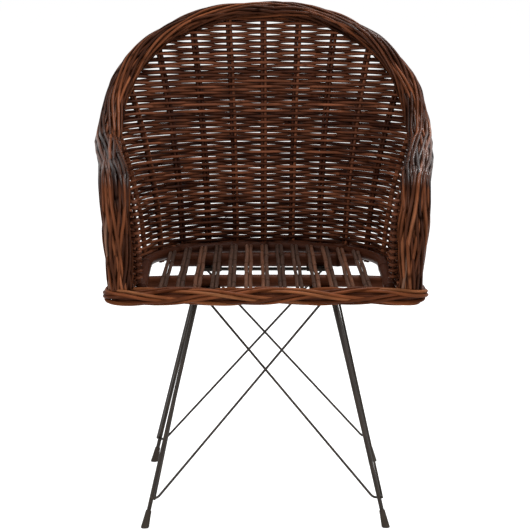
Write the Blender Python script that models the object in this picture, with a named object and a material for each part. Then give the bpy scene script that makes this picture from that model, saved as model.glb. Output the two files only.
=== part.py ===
"""Woven rattan tub armchair on a welded wire base, one solid for each separate piece.

Metres, +Z up. The chair faces -Y and stands on z = 0, centred on the middle of its feet.
"""
import math

import bmesh
import bpy
from mathutils import Matrix, Vector

OBJECT_NAME = "rattan_armchair"

# Clearance between pieces that touch on the real chair
GAP = 0.0003

# Wire base
FOOT_SPACING = 0.420
RING_SIDE = 0.2404
RING_HEIGHT = 0.394
RING_DIAMETER = 0.0066
RING_CORNER = 0.008
LEG_DIAMETER = 0.0066
BRACE_DIAMETER = 0.0034
BRACE_LOW = 0.050
BRACE_TOP_DROP = 0.0030
BRACE_TOP_INSET = 0.0125
BRACE_LOW_WELD = 0.010
BRACE_TOP_WELD = 0.003
FOOT_HEIGHT = 0.031
FOOT_TOP_DIAMETER = 0.0098
FOOT_BOTTOM_DIAMETER = 0.0142
FOOT_SOLE = 0.007
FOOT_EDGE = 0.0012
PLATE_SIDE = 0.044
PLATE_THICKNESS = 0.0025
PLATE_OVERHANG = 0.002
SCREW_DIAMETER = 0.0036
SCREW_LENGTH = 0.014
SCREW_HEAD_DIAMETER = 0.0072
SCREW_HEAD_HEIGHT = 0.0024
SCREW_HEAD_ROUND = 0.0012
SCREW_X = 0.100

# Seat frame and seat rods
HOOP_WIDTH = 0.424
HOOP_REAR = 0.1675
HOOP_CORNER = 0.165
HOOP_DIAMETER = 0.019
FRONT_RAIL_DIAMETER = 0.022
REAR_RAIL_DIAMETER = 0.026
FRONT_RAIL_Y = -0.096
REAR_RAIL_Y = 0.112
SEAT_RAIL_DIAMETER = 0.019
SEAT_RAIL_OVERHANG = 0.005
ROD_DIAMETER = 0.007
ROD_PAIRS = 13
ROD_PITCH_FRONT = 0.0292
ROD_PITCH_REAR = 0.0280
ROD_OVERHANG = 0.008

# Borders round the bottom of the tub
BORDER_DIAMETER = 0.029
BORDER_RISE = 0.0028
BORDER_FRONT_Y = -0.250
BORDER_FRONT_WIDTH = 0.552
BORDER_END_ROUND = 0.010

# Rim roll: it rises as the arm's front post, runs back along the arm and arches over the back
RIM_ACROSS = 0.047
RIM_ARM_ACROSS = 0.054
RIM_FOOT_ACROSS = 0.045
RIM_DEEP = 0.036
RIM_OFFSET = 0.009
RIM_POST_Y = -0.240
RIM_POST_WIDTH = 0.492
RIM_ARM_FRONT_WIDTH = 0.506
RIM_ARCH_WIDTH = 0.560
RIM_ARM_HEIGHT = 0.606
RIM_ARCH_START_Y = 0.030
RIM_ARCH_START_HEIGHT = 0.645
RIM_TOP_Y = 0.241
RIM_TOP_HEIGHT = 0.861
RIM_ARM_CORNER = 0.062
RIM_CORE_DIAMETER = 0.016
ARCH_ROUNDNESS = 2.2
ARCH_PLAN_ROUNDNESS = 3.8
ARCH_STEP_GROWTH = 1.6

# Woven wall of the tub
WALL_FAN = 0.93
WALL_FLARE = 0.85
STAKES_EACH_SIDE = 10
STAKE_DIAMETER = 0.0054
WEAVER_DIAMETER = 0.0058
WEAVER_SWING = 0.0052
ROW_PITCH = 0.00545
FIRST_ROW_RISE = 0.004
WALL_BEND_PLACE = 5.75

# Facets
POLE_RESOLUTION = 4
WIRE_RESOLUTION = 2
SECTION_SIDES = 12
TURN_STEPS = 16
CORNER_STEPS = 10
POST_STEPS = 3
ARM_STEPS = 4
ARCH_STEPS = 20
END_STEPS = 3
ROWS_BETWEEN_LEVELS = 16
SHARP_ANGLE = 35
MERGE_DISTANCE = 0.00001

# The legs end under the middle of the ring's round corners
LEG_TOP_SPACING = RING_SIDE - 2 * RING_CORNER * (1 - math.sqrt(0.5))

# Heights that stack up from the ring: plate, cross rails, seat frame, seat rods
PLATE_BOTTOM = RING_HEIGHT + RING_DIAMETER / 2 + GAP
FRAME_TOP = PLATE_BOTTOM + PLATE_THICKNESS + GAP + REAR_RAIL_DIAMETER
ROD_HEIGHT = FRAME_TOP + GAP + ROD_DIAMETER / 2
HOOP_HEIGHT = FRAME_TOP
SEAT_RAIL_HEIGHT = FRAME_TOP - SEAT_RAIL_DIAMETER / 2
BORDER_HEIGHT = SEAT_RAIL_HEIGHT + BORDER_RISE
WALL_BOTTOM = FRAME_TOP - SEAT_RAIL_DIAMETER
WALL_THICKNESS = 2 * WEAVER_SWING + WEAVER_DIAMETER
WALL_OFFSET = (HOOP_DIAMETER + WALL_THICKNESS) / 2
RIM_BOTTOM = BORDER_HEIGHT + BORDER_DIAMETER / 2 + GAP
SEAT_RAIL_Y = BORDER_FRONT_Y + math.sqrt(
    ((BORDER_DIAMETER + SEAT_RAIL_DIAMETER) / 2) ** 2 - BORDER_RISE ** 2)
WALL_FRONT_Y = RIM_POST_Y + RIM_DEEP / 2 + GAP

MATERIALS = {
    "rattan_weave": ((70, 40, 27), 0.42, 0.0),
    "rattan_pole": ((84, 46, 32), 0.40, 0.0),
    "rattan_rod": ((78, 60, 50), 0.48, 0.0),
    "steel_black": ((52, 47, 43), 0.45, 0.6),
    "rubber_black": ((48, 43, 39), 0.70, 0.0),
}


def clear_scene():
    for old in list(bpy.data.objects):
        bpy.data.objects.remove(old, do_unlink=True)


def new_collection(name):
    collection = bpy.data.collections.new(name)
    bpy.context.scene.collection.children.link(collection)
    return collection


def linear(channel):
    value = channel / 255
    if value <= 0.04045:
        return value / 12.92
    return ((value + 0.055) / 1.055) ** 2.4


def make_material(name):
    srgb, roughness, metallic = MATERIALS[name]
    material = bpy.data.materials.new(name)
    material.use_nodes = True
    shader = material.node_tree.nodes["Principled BSDF"]
    colour = tuple(linear(channel) for channel in srgb) + (1.0,)
    shader.inputs["Base Color"].default_value = colour
    shader.inputs["Roughness"].default_value = roughness
    shader.inputs["Metallic"].default_value = metallic
    material.diffuse_color = colour
    return material


clear_scene()
PARTS = new_collection(OBJECT_NAME)
CUTTERS = new_collection("cutters")
FINISH = {name: make_material(name) for name in MATERIALS}
ROOT = bpy.data.objects.new("chair_origin", None)
PARTS.objects.link(ROOT)


def place(name, data, finish):
    """Put mesh or curve data in the chair as one named piece."""
    piece = bpy.data.objects.new(name, data)
    data.materials.append(FINISH[finish])
    piece.parent = ROOT
    PARTS.objects.link(piece)
    return piece


def tube(name, points, diameter, finish, resolution=POLE_RESOLUTION, closed=False):
    """Round rod or pole along the points."""
    curve = bpy.data.curves.new(name, "CURVE")
    curve.dimensions = "3D"
    curve.bevel_depth = diameter / 2
    curve.bevel_resolution = resolution
    curve.use_fill_caps = not closed
    spline = curve.splines.new("POLY")
    spline.points.add(len(points) - 1)
    for control, point in zip(spline.points, points):
        control.co = (*point, 1.0)
    spline.use_cyclic_u = closed
    spline.use_smooth = True
    return place(name, curve, finish)


def mesh_piece(name, bm, finish):
    """Turn a bmesh into a smooth shaded piece."""
    bmesh.ops.recalc_face_normals(bm, faces=bm.faces)
    if bm.calc_volume(signed=True) < 0:
        bmesh.ops.reverse_faces(bm, faces=bm.faces)
    mesh = bpy.data.meshes.new(name)
    bm.to_mesh(mesh)
    bm.free()
    mesh.shade_smooth()
    mesh.set_sharp_from_angle(angle=math.radians(SHARP_ANGLE))
    return place(name, mesh, finish)


def as_mesh(piece):
    """Swap a curve piece for the mesh that it makes, so that it can be cut."""
    name = piece.name
    evaluated = piece.evaluated_get(bpy.context.evaluated_depsgraph_get())
    mesh = bpy.data.meshes.new_from_object(evaluated)
    bm = bmesh.new()
    bm.from_mesh(mesh)
    bmesh.ops.remove_doubles(bm, verts=bm.verts, dist=MERGE_DISTANCE)
    bmesh.ops.recalc_face_normals(bm, faces=bm.faces)
    bm.to_mesh(mesh)
    bm.free()
    solid = bpy.data.objects.new(name + "_mesh", mesh)
    solid.matrix_world = piece.matrix_world
    solid.parent = ROOT
    PARTS.objects.link(solid)
    bpy.data.objects.remove(piece, do_unlink=True)
    solid.name = name
    return solid


def cut(piece, cutter):
    """Take the cutter's shape out of the piece."""
    cutter.hide_render = True
    cutter.display_type = "WIRE"
    boolean = piece.modifiers.new("cut_" + cutter.name, "BOOLEAN")
    boolean.operation = "DIFFERENCE"
    boolean.object = cutter


def cylinder_cutter(name, diameter, low, high, x, y):
    bm = bmesh.new()
    bmesh.ops.create_cone(
        bm, cap_ends=True, segments=TURN_STEPS, radius1=diameter / 2, radius2=diameter / 2,
        depth=high - low, matrix=Matrix.Translation((x, y, (low + high) / 2)))
    mesh = bpy.data.meshes.new(name)
    bm.to_mesh(mesh)
    bm.free()
    cutter = bpy.data.objects.new(name, mesh)
    CUTTERS.objects.link(cutter)
    return cutter


def turned(profile, steps=TURN_STEPS):
    """Closed turned shape from (radius, height) points, with both ends on the axis."""
    bm = bmesh.new()
    verts = [bm.verts.new((radius, 0.0, height)) for radius, height in profile]
    edges = [bm.edges.new(pair) for pair in zip(verts, verts[1:])]
    bmesh.ops.spin(
        bm, geom=verts + edges, angle=math.tau, steps=steps, axis=(0, 0, 1), cent=(0, 0, 0),
        use_merge=True)
    bmesh.ops.remove_doubles(bm, verts=bm.verts, dist=MERGE_DISTANCE)
    return bm


# Wire base

def leg_point(side_x, side_y, height):
    """Point on a leg's centre line."""
    share = height / RING_HEIGHT
    half = FOOT_SPACING / 2 + share * (LEG_TOP_SPACING - FOOT_SPACING) / 2
    return Vector((side_x * half, side_y * half, height))


def corner_name(side_x, side_y):
    return ("front" if side_y < 0 else "rear") + ("_left" if side_x < 0 else "_right")


def make_leg(side_x, side_y):
    floor = leg_point(side_x, side_y, 0)
    corner = leg_point(side_x, side_y, RING_HEIGHT)
    axis = (corner - floor).normalized()
    ends = [floor + axis * (FOOT_SOLE + GAP), corner - axis * (RING_DIAMETER / 2 + GAP)]
    name = corner_name(side_x, side_y)
    tube("leg_" + name, ends, LEG_DIAMETER, "steel_black")
    make_foot("foot_" + name, floor, axis)


def make_foot(name, centre, axis):
    """Rubber cap pushed over the end of a leg and cut level with the floor."""
    bore = LEG_DIAMETER / 2 + GAP
    below = FOOT_BOTTOM_DIAMETER / 2
    slope = (FOOT_BOTTOM_DIAMETER - FOOT_TOP_DIAMETER) / 2 / FOOT_HEIGHT
    profile = [
        (0, -below), (FOOT_BOTTOM_DIAMETER / 2 + slope * below, -below),
        (FOOT_TOP_DIAMETER / 2 + slope * FOOT_EDGE, FOOT_HEIGHT - FOOT_EDGE),
        (FOOT_TOP_DIAMETER / 2 - FOOT_EDGE / 2, FOOT_HEIGHT), (bore, FOOT_HEIGHT),
        (bore, FOOT_SOLE), (0, FOOT_SOLE)]
    bm = turned(profile)
    turn = Vector((0, 0, 1)).rotation_difference(axis).to_matrix().to_4x4()
    bmesh.ops.transform(bm, matrix=Matrix.Translation(centre) @ turn, verts=bm.verts)
    geometry = bm.verts[:] + bm.edges[:] + bm.faces[:]
    bmesh.ops.bisect_plane(bm, geom=geometry, plane_co=(0, 0, 0), plane_no=(0, 0, 1), clear_inner=True)
    rim = [edge for edge in bm.edges if edge.is_boundary]
    sole = bmesh.ops.contextual_create(bm, geom=rim)["faces"]
    bmesh.ops.bevel(
        bm, geom=sole[0].edges[:], offset=FOOT_EDGE, segments=2, profile=0.5, affect="EDGES")
    mesh_piece(name, bm, "rubber_black")


def make_ring():
    half = RING_SIDE / 2
    points = []
    for quarter in range(4):
        turn = math.radians(45 + 90 * quarter)
        centre_x = math.copysign(half - RING_CORNER, math.cos(turn))
        centre_y = math.copysign(half - RING_CORNER, math.sin(turn))
        for step in range(CORNER_STEPS + 1):
            angle = math.radians(90) * (quarter + step / CORNER_STEPS)
            points.append((
                centre_x + RING_CORNER * math.cos(angle), centre_y + RING_CORNER * math.sin(angle),
                RING_HEIGHT))
    tube("base_ring", points, RING_DIAMETER, "steel_black", WIRE_RESOLUTION, closed=True)


def rounded_path(start, first, second, end, steps=CORNER_STEPS):
    """Straight ends joined to a straight middle by two smooth bends."""
    middle = (second - first).normalized()
    low_end = first - start
    top_end = end - second
    points = [start]
    for corner, before, after, bend in (
            (first, low_end.normalized(), middle, low_end.length / 2),
            (second, middle, top_end.normalized(), top_end.length / 2)):
        entry = corner - before * bend
        leave = corner + after * bend
        for step in range(steps + 1):
            t = step / steps
            points.append(entry * (1 - t) ** 2 + corner * 2 * t * (1 - t) + leave * t * t)
    points.append(end)
    return points


def make_brace(name, low_leg, high_leg, face, outside):
    """Wire welded level across the low end of one leg and against the ring beside the next."""
    slant = (FOOT_SPACING - LEG_TOP_SPACING) / 2 / RING_HEIGHT
    normal = Vector((face[0], face[1], slant)).normalized()
    reach = (LEG_DIAMETER + BRACE_DIAMETER) / 2 + GAP
    side = 1 if outside else -1
    high = RING_HEIGHT - BRACE_TOP_DROP
    low = leg_point(*low_leg, BRACE_LOW) + normal * reach * side
    along = (leg_point(*high_leg, BRACE_LOW) - leg_point(*low_leg, BRACE_LOW)).normalized()
    to_ring = (RING_SIDE - LEG_TOP_SPACING) / 2 + reach * side
    beside = Vector((*face, 0)) * to_ring - along * BRACE_TOP_INSET
    points = rounded_path(
        low - along * LEG_DIAMETER / 2, low + along * BRACE_LOW_WELD,
        leg_point(*high_leg, high) + beside, leg_point(*high_leg, high + BRACE_TOP_WELD) + beside)
    tube(name, points, BRACE_DIAMETER, "steel_black", WIRE_RESOLUTION)


def make_braces():
    faces = {
        "front": ((0, -1), (-1, -1), (1, -1)), "rear": ((0, 1), (1, 1), (-1, 1)),
        "left": ((-1, 0), (-1, 1), (-1, -1)), "right": ((1, 0), (1, -1), (1, 1))}
    for name, (face, one, other) in faces.items():
        make_brace("brace_" + name + "_outer", one, other, face, True)
        make_brace("brace_" + name + "_inner", other, one, face, False)


def make_plate(side_x, side_y):
    """Square tab on a ring corner with a screw hole up into the cross rail."""
    name = corner_name(side_x, side_y)
    rail_y = FRONT_RAIL_Y if side_y < 0 else REAR_RAIL_Y
    diameter = FRONT_RAIL_DIAMETER if side_y < 0 else REAR_RAIL_DIAMETER
    top = FRAME_TOP - diameter - GAP
    centre = RING_SIDE / 2 + PLATE_OVERHANG - PLATE_SIDE / 2
    bm = bmesh.new()
    middle = (PLATE_BOTTOM + top) / 2
    size = Matrix.Diagonal((PLATE_SIDE, PLATE_SIDE, top - PLATE_BOTTOM, 1))
    spot = Matrix.Translation((side_x * centre, side_y * centre, middle))
    bmesh.ops.create_cube(bm, size=1, matrix=spot @ size)
    plate = mesh_piece("mount_plate_" + name, bm, "steel_black")
    hole = SCREW_DIAMETER + 2 * GAP
    above = top + SCREW_DIAMETER
    below = PLATE_BOTTOM - SCREW_DIAMETER
    cut(plate, cylinder_cutter("plate_hole_" + name, hole, below, above, side_x * SCREW_X, rail_y))
    make_screw("screw_" + name, side_x * SCREW_X, rail_y, top + SCREW_LENGTH - GAP)


def make_screw(name, x, y, tip):
    """Pan head screw driven up through the plate into the rail, as far as tip."""
    head = SCREW_HEAD_DIAMETER / 2
    seat = PLATE_BOTTOM - GAP
    crown = seat - SCREW_HEAD_HEIGHT
    profile = [
        (0, crown), (head - SCREW_HEAD_ROUND, crown), (head, crown + SCREW_HEAD_ROUND), (head, seat),
        (SCREW_DIAMETER / 2, seat), (SCREW_DIAMETER / 2, tip - SCREW_DIAMETER), (0, tip)]
    bm = turned(profile)
    bmesh.ops.translate(bm, vec=(x, y, 0), verts=bm.verts)
    mesh_piece(name, bm, "steel_black")


# Seat

def u_point(distance, offset):
    """Plan point and outward normal on the seat's U outline, measured from the rear centre."""
    rear = HOOP_WIDTH / 2 - HOOP_CORNER
    radius = HOOP_CORNER + offset
    arc = radius * math.pi / 2
    if distance <= rear:
        return Vector((distance, HOOP_REAR + offset)), Vector((0, 1))
    if distance <= rear + arc:
        angle = (distance - rear) / radius
        normal = Vector((math.sin(angle), math.cos(angle)))
        return Vector((rear, HOOP_REAR - HOOP_CORNER)) + radius * normal, normal
    return Vector((rear + radius, HOOP_REAR - HOOP_CORNER - (distance - rear - arc))), Vector((1, 0))


def u_length(offset, front_y):
    """Half length of the U outline from the rear centre to front_y."""
    rear = HOOP_WIDTH / 2 - HOOP_CORNER
    return rear + (HOOP_CORNER + offset) * math.pi / 2 + HOOP_REAR - HOOP_CORNER - front_y


def u_stations(offset, front_y):
    """Distances along the U that its straights and round corners need."""
    rear = HOOP_WIDTH / 2 - HOOP_CORNER
    arc = (HOOP_CORNER + offset) * math.pi / 2
    corner = [rear + arc * step / CORNER_STEPS for step in range(CORNER_STEPS + 1)]
    return corner + [u_length(offset, front_y)]


def mirrored(half):
    """Full path, left to right, from a right half that runs from the front to the rear."""
    left = [Vector((-point.x, point.y, point.z)) for point in half]
    if left[-1] == half[-1]:
        left.pop()
    return left + half[::-1]


def hoop_stations():
    """Hoop's centre line, left end to right end: (point, outward normal)."""
    end_y = SEAT_RAIL_Y + SEAT_RAIL_DIAMETER / 2 + GAP
    half = []
    for distance in reversed(u_stations(0, end_y)):
        plan, normal = u_point(distance, 0)
        half.append((Vector((plan.x, plan.y, HOOP_HEIGHT)), normal.to_3d()))
    flip = Vector((-1, 1, 1))
    return [(point * flip, normal * flip) for point, normal in half] + half[::-1]


def make_hoop():
    tube("seat_hoop", [point for point, _ in hoop_stations()], HOOP_DIAMETER, "rattan_pole")
    reach = HOOP_WIDTH / 2 + SEAT_RAIL_OVERHANG
    ends = [(-reach, SEAT_RAIL_Y, SEAT_RAIL_HEIGHT), (reach, SEAT_RAIL_Y, SEAT_RAIL_HEIGHT)]
    tube("seat_front_rail", ends, SEAT_RAIL_DIAMETER, "rattan_pole")


def make_saddle_cutter():
    """The hoop with clearance all round, which cuts the saddles that it lies in."""
    size = HOOP_DIAMETER + 4 * GAP
    bm = bmesh.new()
    rings = []
    for point, normal in hoop_stations():
        rings.append(section_ring(bm, point, normal, Vector((0, 0, 1)), size, size))
    for one, other in zip(rings, rings[1:]):
        bridge(bm, one, other)
    bm.faces.new(rings[0])
    bm.faces.new(rings[-1])
    bmesh.ops.recalc_face_normals(bm, faces=bm.faces)
    mesh = bpy.data.meshes.new("hoop_saddle")
    bm.to_mesh(mesh)
    bm.free()
    cutter = bpy.data.objects.new("hoop_saddle", mesh)
    CUTTERS.objects.link(cutter)
    return cutter


def make_cross_rail(name, y, diameter, saddle):
    """Pole that carries the hoop in a saddle at each end, drilled for the base screws."""
    reach = hoop_side_x(y)
    bottom = FRAME_TOP - diameter
    height = FRAME_TOP - diameter / 2
    rail = as_mesh(tube(name, [(-reach, y, height), (reach, y, height)], diameter, "rattan_pole"))
    cut(rail, saddle)
    top = bottom + SCREW_LENGTH
    for side in (-1, 1):
        label = name + ("_hole_left" if side < 0 else "_hole_right")
        hole = SCREW_DIAMETER + 2 * GAP
        cut(rail, cylinder_cutter(label, hole, bottom - diameter, top, side * SCREW_X, y))


def hoop_side_x(y):
    """Half width of the hoop's centre line at the given depth."""
    into_corner = max(y - (HOOP_REAR - HOOP_CORNER), 0)
    return HOOP_WIDTH / 2 - HOOP_CORNER + math.sqrt(HOOP_CORNER ** 2 - into_corner ** 2)


def hoop_inner_y(x):
    """Depth of the hoop's inner face behind the given x."""
    into_corner = max(abs(x) - (HOOP_WIDTH / 2 - HOOP_CORNER), 0)
    inner_radius = HOOP_CORNER - HOOP_DIAMETER / 2
    return HOOP_REAR - HOOP_CORNER + math.sqrt(inner_radius ** 2 - into_corner ** 2)


def make_seat_rods():
    """Pairs of rods laid from the front rail to the inside of the hoop's back."""
    apart = (ROD_DIAMETER + GAP) / 2
    for pair in range(ROD_PAIRS):
        place_in_row = pair - (ROD_PAIRS - 1) / 2
        for side, label in ((-1, "a"), (1, "b")):
            front_x = place_in_row * ROD_PITCH_FRONT + side * apart
            rear_x = place_in_row * ROD_PITCH_REAR + side * apart
            ends = [
                (front_x, SEAT_RAIL_Y - ROD_OVERHANG, ROD_HEIGHT),
                (rear_x, hoop_inner_y(abs(rear_x) + ROD_DIAMETER / 2) - GAP, ROD_HEIGHT)]
            tube(f"seat_rod_{pair + 1:02d}_{label}", ends, ROD_DIAMETER, "rattan_rod", WIRE_RESOLUTION)


# Rim and woven wall

def rim_half():
    """Rim centre line of the right half, from the foot of the post to the top of the back.

    Each entry is (point, outward plan normal, width across, whether the woven wall reaches it).
    """
    foot = Vector((RIM_POST_WIDTH / 2, RIM_POST_Y, RIM_BOTTOM))
    corner = Vector((RIM_ARM_FRONT_WIDTH / 2, RIM_POST_Y, RIM_ARM_HEIGHT))
    arch = Vector((RIM_ARCH_WIDTH / 2, RIM_ARCH_START_Y, RIM_ARCH_START_HEIGHT))
    up = (corner - foot).normalized()
    back = (arch - corner).normalized()
    entry = corner - up * RIM_ARM_CORNER
    leave = corner + back * RIM_ARM_CORNER
    side = Vector((1, 0, 0))
    path = []
    for step in range(POST_STEPS):
        share = step / POST_STEPS
        across = RIM_FOOT_ACROSS + share * (RIM_ARM_ACROSS - RIM_FOOT_ACROSS)
        path.append((foot.lerp(entry, share), side, across, False))
    for step in range(CORNER_STEPS + 1):
        t = step / CORNER_STEPS
        bend = entry * (1 - t) ** 2 + corner * 2 * t * (1 - t) + leave * t * t
        path.append((bend, side, RIM_ARM_ACROSS, True))
    for step in range(1, ARM_STEPS):
        share = step / ARM_STEPS
        across = RIM_ARM_ACROSS + share * (RIM_ACROSS - RIM_ARM_ACROSS)
        path.append((leave.lerp(arch, share), side, across, True))
    for step in range(ARCH_STEPS + 1):
        path.append(arch_point(math.pi / 2 * (step / ARCH_STEPS) ** ARCH_STEP_GROWTH))
    return path


def arch_point(angle):
    """Rim centre line over the back; the angle runs from the arm to the top centre."""
    across = max(math.cos(angle), 0.0)
    rise = math.sin(angle)
    half = RIM_ARCH_WIDTH / 2
    deep = RIM_TOP_Y - RIM_ARCH_START_Y
    x = half * across ** (2 / ARCH_ROUNDNESS)
    y = RIM_ARCH_START_Y + deep * rise ** (2 / ARCH_PLAN_ROUNDNESS)
    z = RIM_ARCH_START_HEIGHT + (RIM_TOP_HEIGHT - RIM_ARCH_START_HEIGHT) * rise ** (2 / ARCH_ROUNDNESS)
    normal = Vector((across / half, rise / deep, 0)).normalized()
    return Vector((x, y, z)), normal, RIM_ACROSS, True


def rim_frames():
    """Full rim, left foot to right foot, level at both feet.

    Each entry is (point, outward normal, direction into the wall, width across, whether the wall
    reaches it).
    """
    half = rim_half()
    flip = Vector((-1, 1, 1))
    full = [(point * flip, normal * flip, across, walled) for point, normal, across, walled in half]
    full += half[-2::-1]
    frames = []
    for index, (point, normal, across, walled) in enumerate(full):
        before = full[max(index - 1, 0)][0]
        after = full[min(index + 1, len(full) - 1)][0]
        tangent = (after - before).normalized()
        if index in (0, len(full) - 1):
            tangent = Vector((0, 0, math.copysign(1, tangent.z)))
        outward = (normal - tangent * normal.dot(tangent)).normalized()
        frames.append((point, outward, outward.cross(tangent), across, walled))
    return frames


def section_ring(bm, point, outward, inward, across, deep):
    ring = []
    for side in range(SECTION_SIDES):
        angle = math.tau * side / SECTION_SIDES
        offset = outward * (across / 2 * math.sin(angle)) + inward * (deep / 2 * math.cos(angle))
        ring.append(bm.verts.new(point + offset))
    return ring


def bridge(bm, one, other):
    count = len(one)
    for index in range(count):
        following = (index + 1) % count
        bm.faces.new((one[index], one[following], other[following], other[index]))


def make_rim():
    """Hollow roll over a bent core pole, both open or capped at the feet of the posts."""
    frames = rim_frames()
    bore = RIM_CORE_DIAMETER + 4 * GAP
    bm = bmesh.new()
    outer = []
    inner = []
    for point, outward, inward, across, _ in frames:
        outer.append(section_ring(bm, point, outward, inward, across, RIM_DEEP))
        inner.append(section_ring(bm, point, outward, inward, bore, bore))
    for rings in (outer, inner):
        for one, other in zip(rings, rings[1:]):
            bridge(bm, one, other)
    bridge(bm, outer[0], inner[0])
    bridge(bm, outer[-1], inner[-1])
    mesh_piece("rim_border", bm, "rattan_weave")

    bm = bmesh.new()
    rings = []
    for point, outward, inward, _, _ in frames:
        rings.append(section_ring(bm, point, outward, inward, RIM_CORE_DIAMETER, RIM_CORE_DIAMETER))
    for one, other in zip(rings, rings[1:]):
        bridge(bm, one, other)
    bm.faces.new(rings[0])
    bm.faces.new(rings[-1])
    mesh_piece("rim_core", bm, "rattan_pole")


def wall_tops():
    """Top edge of the wall's right half, centre to front: (share of the way round, point, outward)."""
    tops = []
    for point, outward, inward, _, walled in rim_frames():
        if walled and point.x > -GAP:
            tops.append((point - outward * RIM_OFFSET + inward * (RIM_DEEP / 2 + GAP), outward))
    travelled = [0.0]
    for (one, _), (other, _) in zip(tops, tops[1:]):
        travelled.append(travelled[-1] + (other.xy - one.xy).length)
    return [(length / travelled[-1], *top) for top, length in zip(tops, travelled)]


def wall_column(share, top, outward):
    """Upright line of the wall: (bottom, top, bottom normal, top normal)."""
    whole = u_length(WALL_OFFSET, WALL_FRONT_Y)
    plan, normal = u_point(whole * share * (WALL_FAN + (1 - WALL_FAN) * share ** 2), WALL_OFFSET)
    return plan.to_3d() + Vector((0, 0, WALL_BOTTOM)), top, normal.to_3d(), outward


def column_at(share):
    """Upright line of the wall between two sections of the rim."""
    tops = wall_tops()
    for (low, one, one_out), (high, other, other_out) in zip(tops, tops[1:]):
        if share <= high:
            part = (share - low) / (high - low)
            return wall_column(share, one.lerp(other, part), one_out.lerp(other_out, part).normalized())


def wall_point(bottom, top, share):
    """Point on an upright: nearly plumb at the seat, and leaning out more and more up to the rim."""
    lean = (1 - WALL_FLARE) * share + WALL_FLARE * share ** 2
    plan = bottom.xy.lerp(top.xy, lean)
    return Vector((plan.x, plan.y, bottom.z + share * (top.z - bottom.z)))


def wall_normal(column, share):
    """Outward normal of the wall, square to the upright's lean."""
    bottom, top, low_normal, high_normal = column
    lean = (top.xy - bottom.xy) * (1 - WALL_FLARE + 2 * WALL_FLARE * share)
    up = Vector((lean.x, lean.y, top.z - bottom.z)).normalized()
    normal = low_normal.lerp(high_normal, share)
    return (normal - up * normal.dot(up)).normalized()


def weave_column(bm, place):
    """Vertices up one line of the wall, at a place counted in uprights from the rear centre.

    At an upright pair, every other row stands out of the outer face and the rows between them out
    of the inner face. Half way to the next pair both faces are plain. Each entry is (height, outer
    vertex, inner vertex).
    """
    column = column_at(abs(place) / STAKES_EACH_SIDE)
    bottom, top, low_normal, high_normal = column
    side = Vector((math.copysign(1, place), 1, 1))
    on_stake = place == round(place)
    flat = (STAKE_DIAMETER if on_stake else WEAVER_DIAMETER) / 2
    proud = WALL_THICKNESS / 2
    levels = [(bottom, low_normal, flat, flat)]
    first = bottom.z + FIRST_ROW_RISE
    rows = math.ceil((top.z - first) / ROW_PITCH - 0.5)
    for row in range(0, rows, 1 if on_stake else ROWS_BETWEEN_LEVELS):
        share = (first + row * ROW_PITCH - bottom.z) / (top.z - bottom.z)
        outside = (row + round(place)) % 2 == 0
        levels.append((
            wall_point(bottom, top, share), wall_normal(column, share),
            proud if on_stake and outside else flat, proud if on_stake and not outside else flat))
    levels.append((top, high_normal, flat, flat))
    return [
        (point.z, bm.verts.new((point + normal * out) * side), bm.verts.new((point - normal * back) * side))
        for point, normal, out, back in levels]


def zip_up(bm, one, other):
    """Triangles between two columns of (height, vertex), with whichever step is lower taken first."""
    left = 0
    right = 0
    while left < len(one) - 1 or right < len(other) - 1:
        climb_right = left == len(one) - 1
        if not climb_right and right < len(other) - 1:
            climb_right = other[right + 1][0] < one[left + 1][0]
        third = other[right + 1][1] if climb_right else one[left + 1][1]
        bm.faces.new((one[left][1], other[right][1], third))
        if climb_right:
            right += 1
        else:
            left += 1


def make_wall():
    """Woven wall from the foot up to the rim, with the rows that pass over the uprights in relief.

    One more column follows the bend where the rim turns from the back into each arm.
    """
    bm = bmesh.new()
    halves = 2 * STAKES_EACH_SIDE
    places = [step / 2 for step in range(-halves, halves + 1)]
    places += [-WALL_BEND_PLACE, WALL_BEND_PLACE]
    columns = [weave_column(bm, place) for place in sorted(places)]
    for one, other in zip(columns, columns[1:]):
        for face in (1, 2):
            zip_up(
                bm, [(level[0], level[face]) for level in one], [(level[0], level[face]) for level in other])
        for end in (0, -1):
            bm.faces.new((one[end][1], other[end][1], other[end][2], one[end][2]))
    for column in (columns[0], columns[-1]):
        for (_, outer, inner), (_, outer_above, inner_above) in zip(column, column[1:]):
            bm.faces.new((outer, outer_above, inner_above, inner))
    mesh_piece("woven_wall", bm, "rattan_weave")


def make_borders():
    """Rolled border along the front, and round the foot of the wall at the sides and back."""
    half_width = BORDER_FRONT_WIDTH / 2
    radius = BORDER_DIAMETER / 2
    bm = bmesh.new()
    rings = []
    ends = []
    for step in range(END_STEPS + 1):
        angle = math.pi / 2 * step / END_STEPS
        ends.append((
            half_width - BORDER_END_ROUND * (1 - math.cos(angle)),
            radius - BORDER_END_ROUND * (1 - math.sin(angle))))
    stations = [(-x, size) for x, size in ends] + ends[::-1]
    for x, size in stations:
        centre = Vector((x, BORDER_FRONT_Y, BORDER_HEIGHT))
        rings.append(section_ring(bm, centre, Vector((0, 1, 0)), Vector((0, 0, 1)), size * 2, size * 2))
    for one, other in zip(rings, rings[1:]):
        bridge(bm, one, other)
    bm.faces.new(rings[0])
    bm.faces.new(rings[-1])
    mesh_piece("front_border", bm, "rattan_weave")

    half = []
    end_y = BORDER_FRONT_Y + radius + GAP
    for bottom, top, normal, _ in [wall_column(*section) for section in reversed(wall_tops())]:
        share = (BORDER_HEIGHT + radius / 2 - bottom.z) / (top.z - bottom.z)
        beside = wall_point(bottom, top, share) + normal * (WALL_THICKNESS / 2 + GAP + radius)
        half.append(Vector((beside.x, beside.y, BORDER_HEIGHT)))
    half = [Vector((half[0].x, end_y, BORDER_HEIGHT))] + half
    tube("bottom_border", mirrored(half), BORDER_DIAMETER, "rattan_weave")


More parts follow.
